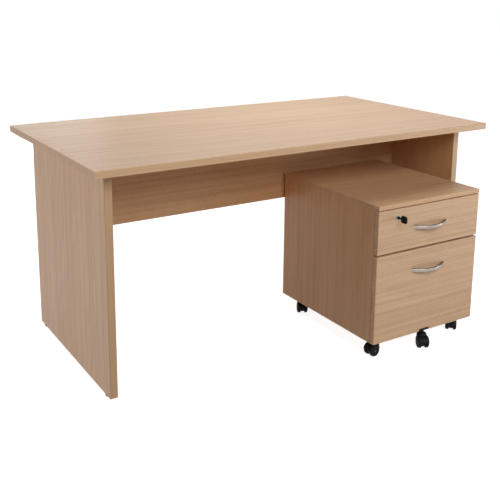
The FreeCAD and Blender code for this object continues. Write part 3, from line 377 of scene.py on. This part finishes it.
finish(moulded("black_plastic", NYLON_BLACK, NYLON_WORN, 60.0, PLASTIC_ROUGHNESS, PLASTIC_SHEEN),
       "floor_glides", "file_rails", "key_head")
finish(moulded("hood_nylon", NYLON_BLACK, NYLON_WORN, 55.0, HOOD_ROUGHNESS, PLASTIC_SHEEN),
       *[f"{castor}_castor_hood" for castor in CASTORS])
finish(moulded("wheel_nylon", NYLON_BLACK, NYLON_WORN, 85.0, PLASTIC_ROUGHNESS, PLASTIC_SHEEN),
       *[f"{castor}_castor_wheels" for castor in CASTORS])


# Floor and world: white to the camera and to metal, but the floor's bounce on the desk is warmer and dimmer
FLOOR_HALF = 14.0
FLOOR_COLOUR = (0.82, 0.82, 0.82, 1.0)
FLOOR_BOUNCE = (0.40, 0.28, 0.20, 1.0)
FLOOR_LIFT = 0.86
FLOOR_FAR = 1.0
FLOOR_FADE = (1.4, 5.0)
SKY_STRENGTH = 0.03
PLAIN = (1.0, 1.0, 1.0)
COOL = (0.97, 1.0, 1.03)
WARM = (1.0, 0.93, 0.89)


def seen_directly(tree):
    """1 for camera, glossy and transmission rays, and 0 for the rays that light the object."""
    path = tree.nodes.new("ShaderNodeLightPath")
    either = maths(tree, "MAXIMUM", path.outputs["Is Camera Ray"], path.outputs["Is Glossy Ray"])
    return maths(tree, "MAXIMUM", either, path.outputs["Is Transmission Ray"])


def make_floor():
    """A flat pale sheet under the object; what is seen of it directly is lifted to white."""
    mesh = bpy.data.meshes.new("floor")
    corners = FLOOR_HALF * np.array([(-1, -1, 0), (1, -1, 0), (1, 1, 0), (-1, 1, 0)], float)
    mesh.from_pydata(corners.tolist(), [], [(0, 1, 2, 3)])
    floor = bpy.data.objects.new("floor", mesh)
    bpy.context.scene.collection.objects.link(floor)
    material = bpy.data.materials.new("floor_white")
    material.use_nodes = True
    tree = material.node_tree
    shader = tree.nodes["Principled BSDF"]
    seen = seen_directly(tree)
    wire(tree, mixed(tree, seen, FLOOR_BOUNCE, FLOOR_COLOUR), shader.inputs["Base Color"])
    shader.inputs["Roughness"].default_value = 1.0
    shader.inputs["Specular IOR Level"].default_value = 0.0
    shader.inputs["Emission Color"].default_value = WHITE
    coordinates = tree.nodes.new("ShaderNodeTexCoord")
    reach = add(tree, "ShaderNodeVectorMath", operation="LENGTH")
    wire(tree, coordinates.outputs["Object"], reach.inputs[0])
    lift = ranged(tree, reach.outputs["Value"], *FLOOR_FADE, FLOOR_LIFT, FLOOR_FAR)
    wire(tree, maths(tree, "MULTIPLY", seen, lift), shader.inputs["Emission Strength"])
    mesh.materials.append(material)


def make_world():
    """A white surround where it is seen directly, and a softer one for light."""
    world = bpy.data.worlds.new("studio")
    bpy.context.scene.world = world
    world.use_nodes = True
    tree = world.node_tree
    background = tree.nodes["Background"]
    background.inputs["Color"].default_value = WHITE
    strength = ranged(tree, seen_directly(tree), 0.0, 1.0, SKY_STRENGTH, 1.0)
    wire(tree, strength, background.inputs["Strength"])


def make_lamp(name, place, target, width, height, watts, colour=PLAIN):
    """A soft rectangular lamp aimed at a point."""
    lamp = bpy.data.lights.new(name, "AREA")
    lamp.shape = "RECTANGLE"
    lamp.size = width
    lamp.size_y = height
    lamp.energy = watts
    lamp.color = colour
    holder = bpy.data.objects.new(name, lamp)
    holder.location = place
    holder.rotation_euler = (Vector(target) - Vector(place)).to_track_quat("-Z", "Y").to_euler()
    holder.visible_camera = False
    bpy.context.scene.collection.objects.link(holder)


def make_camera():
    """The camera: its place, its turn, and a shift for a picture centre off the optical axis."""
    ahead = Vector((math.sin(CAMERA_YAW) * math.cos(CAMERA_DIP), math.cos(CAMERA_YAW) * math.cos(CAMERA_DIP),
                    -math.sin(CAMERA_DIP)))
    level = Vector((math.cos(CAMERA_YAW), -math.sin(CAMERA_YAW), 0.0))
    down = ahead.cross(level)
    right = math.cos(CAMERA_ROLL) * level + math.sin(CAMERA_ROLL) * down
    up = math.sin(CAMERA_ROLL) * level - math.cos(CAMERA_ROLL) * down
    lens = bpy.data.cameras.new("camera")
    lens.sensor_width = SENSOR
    lens.lens = FOCAL_PIXELS / PICTURE * SENSOR
    lens.shift_x = 0.5 - CENTRE_PIXELS[0] / PICTURE
    lens.shift_y = CENTRE_PIXELS[1] / PICTURE - 0.5
    holder = bpy.data.objects.new("camera", lens)
    turn = Matrix((right, up, -ahead)).transposed().to_4x4()
    holder.matrix_world = Matrix.Translation(CAMERA_PLACE) @ turn
    bpy.context.scene.collection.objects.link(holder)
    bpy.context.scene.camera = holder


make_floor()
make_world()
make_lamp("overhead", place=(0.36, 0.40, 1.95), target=(0.3, 0.3, 0.7),
          width=1.1, height=0.8, watts=13.6)
make_lamp("front", place=(-0.15, -3.4, 2.6), target=(0.3, -0.4, 0.4),
          width=2.4, height=1.6, watts=88.0, colour=COOL)
make_lamp("front_right", place=(2.2, -3.0, 0.9), target=(0.5, -0.45, 0.35),
          width=1.0, height=0.6, watts=4.0, colour=COOL)
make_lamp("right", place=(3.4, -2.1, 0.2), target=(0.4, -0.4, 0.3),
          width=1.2, height=0.35, watts=25.0)
make_lamp("left", place=(-3.6, 1.1, 1.35), target=(-0.7, 0.1, 0.4),
          width=1.6, height=1.4, watts=35.0, colour=WARM)
make_lamp("left_front", place=(-2.8, -2.4, 1.9), target=(0.1, -0.4, 0.4),
          width=1.4, height=1.2, watts=12.0, colour=WARM)
make_lamp("back", place=(0.4, 3.8, 0.6), target=(0.0, 0.3, 0.4),
          width=1.0, height=0.8, watts=34.0)
make_camera()
bpy.context.scene.view_settings.view_transform = "Standard"
